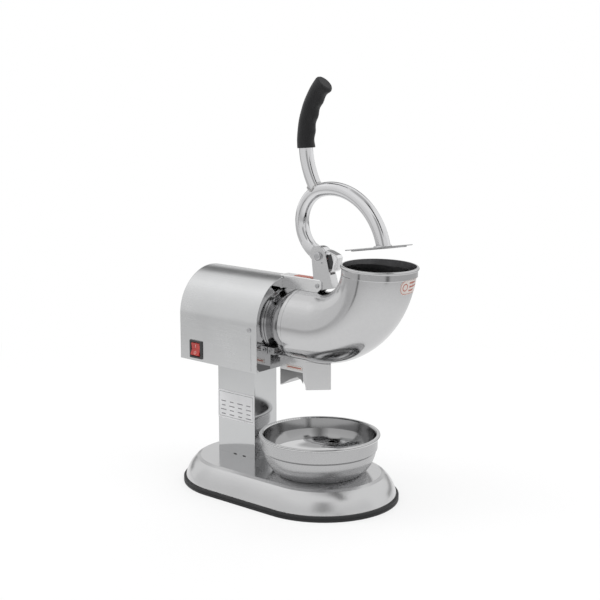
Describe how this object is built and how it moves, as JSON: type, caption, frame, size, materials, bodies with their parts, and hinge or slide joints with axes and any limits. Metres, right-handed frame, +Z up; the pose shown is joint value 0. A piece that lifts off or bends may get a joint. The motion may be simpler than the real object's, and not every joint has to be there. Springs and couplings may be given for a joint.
{
  "type": "ice shaver",
  "caption": "Countertop ice shaver: a hand lever presses ice down a curved feed tube onto a motor driven blade disc, and shaved ice drops into a bowl.",
  "frame": {"origin": "centre of the machine's overall box, at the floor", "axes": "+X towards the feed mouth and bowl, +Y to the far side when the rocker switch faces the viewer, +Z up"},
  "size_m": [0.3826, 0.2124, 0.5842],
  "materials": {
    "cast_base": "polished cast aluminium",
    "edge_rubber": "matt black rubber",
    "cover_steel": "plain zinc plated sheet",
    "zinc_screws": "zinc plated",
    "satin_steel": "satin stainless sheet",
    "mirror_steel": "mirror polished stainless sheet",
    "black_switch": "black moulded plastic",
    "red_rocker": "clear red plastic",
    "gland_brass": "plated brass",
    "motor_cast": "as cast",
    "motor_shell": "black enamel",
    "laminations": "varnished laminations",
    "windings": "varnished copper wire",
    "bearing_steel": "ground steel",
    "shaft_steel": "ground steel",
    "capacitor_case": "pale plastic",
    "fan_plastic": "black plastic",
    "seal_rubber": "black rubber",
    "rotor_cast": "machined",
    "blade_steel": "ground edge",
    "polished_cast": "hand polished cast aluminium",
    "gasket_rubber": "grey rubber sheet",
    "chute_cast": "satin cast aluminium",
    "bracket_steel": "polished stainless sheet",
    "switch_black": "black moulded plastic",
    "lever_steel": "polished stainless tube",
    "grip_rubber": "moulded black rubber",
    "disc_steel": "polished stainless disc",
    "pad_steel": "satin aluminium",
    "bowl_satin": "satin stainless",
    "bowl_mirror": "mirror polished stainless"
  },
  "bodies": {
    "machine": {"base_shell": "cast_base", "base_edge_trim": "edge_rubber", "base_bottom_cover": "cover_steel", "cover_screws": "zinc_screws", "column": "satin_steel", "column_foot_plate": "cover_steel", "column_head_plate": "cover_steel", "column_foot_bolts": "zinc_screws", "column_head_bolts": "zinc_screws", "housing_shroud": "satin_steel", "housing_floor": "satin_steel", "housing_rear_panel": "satin_steel", "rear_panel_screws": "zinc_screws", "shroud_screws": "zinc_screws", "cord_gland": "gland_brass", "front_plate": "mirror_steel", "switch_bezel": "black_switch", "stator_shell": "motor_shell", "stator_core": "laminations", "stator_windings": "windings", "motor_front_bell": "motor_cast", "motor_rear_bell": "motor_cast", "motor_bearings": "bearing_steel", "motor_cradle": "cover_steel", "run_capacitor": "capacitor_case", "capacitor_strap": "cover_steel", "bearing_carrier": "motor_cast", "front_bearing": "bearing_steel", "shaft_seal": "seal_rubber", "feed_elbow": "polished_cast", "flange_gasket": "gasket_rubber", "elbow_screws": "bearing_steel", "discharge_chute": "chute_cast", "chute_screws": "zinc_screws", "top_bracket": "bracket_steel", "pivot_fork": "bracket_steel", "bracket_rivet": "bearing_steel", "pivot_bolt": "bearing_steel", "pivot_nut": "bearing_steel", "switch_body": "switch_black", "switch_guard": "bracket_steel"},
    "rotor": {"rotor_core": "laminations", "drive_shaft": "shaft_steel", "cooling_fan": "fan_plastic", "thrower_hub": "rotor_cast", "blade_disc": "rotor_cast", "blades": "blade_steel", "blade_screws": "zinc_screws", "hub_nut": "bearing_steel"},
    "press_lever": {"lever_loop": "lever_steel", "lever_handle": "lever_steel", "grip": "grip_rubber", "pusher_foot": "lever_steel", "pusher_disc": "disc_steel", "pusher_pad": "pad_steel"},
    "rocker": {"switch_rocker": "red_rocker"},
    "interlock_plunger": {"switch_plunger": "red_rocker"},
    "bowl": {"bowl_outer": "bowl_satin", "bowl_inner": "bowl_mirror"}
  },
  "joints": [
    {"name": "lever_swing", "type": "hinge", "parent": "machine", "child": "press_lever", "pos_m": [0.03886, 0, 0.3435], "axis": [0, 1, 0], "range_deg": [-42, 84]},
    {"name": "rotor_spin", "type": "hinge", "parent": "machine", "child": "rotor", "pos_m": [-0.02114, 0, 0.2437], "axis": [1, 0, 0], "continuous": true},
    {"name": "rocker_tilt", "type": "hinge", "parent": "machine", "child": "rocker", "pos_m": [-0.14074, -0.0631, 0.1961], "axis": [1, 0, 0], "range_deg": [0, 12]},
    {"name": "interlock_slide", "type": "slide", "parent": "machine", "child": "interlock_plunger", "axis": [0.9397, 0, -0.342], "range_m": [-0.0009, 0.0013]},
    {"name": "bowl_slide", "type": "slide", "parent": "machine", "child": "bowl", "axis": [1, 0, 0], "range_m": [0, 0.15]}
  ],
  "couplings": [
    {"joint": "interlock_slide", "follows": "lever_swing", "m_per_rad": 0.000762}
  ]
}
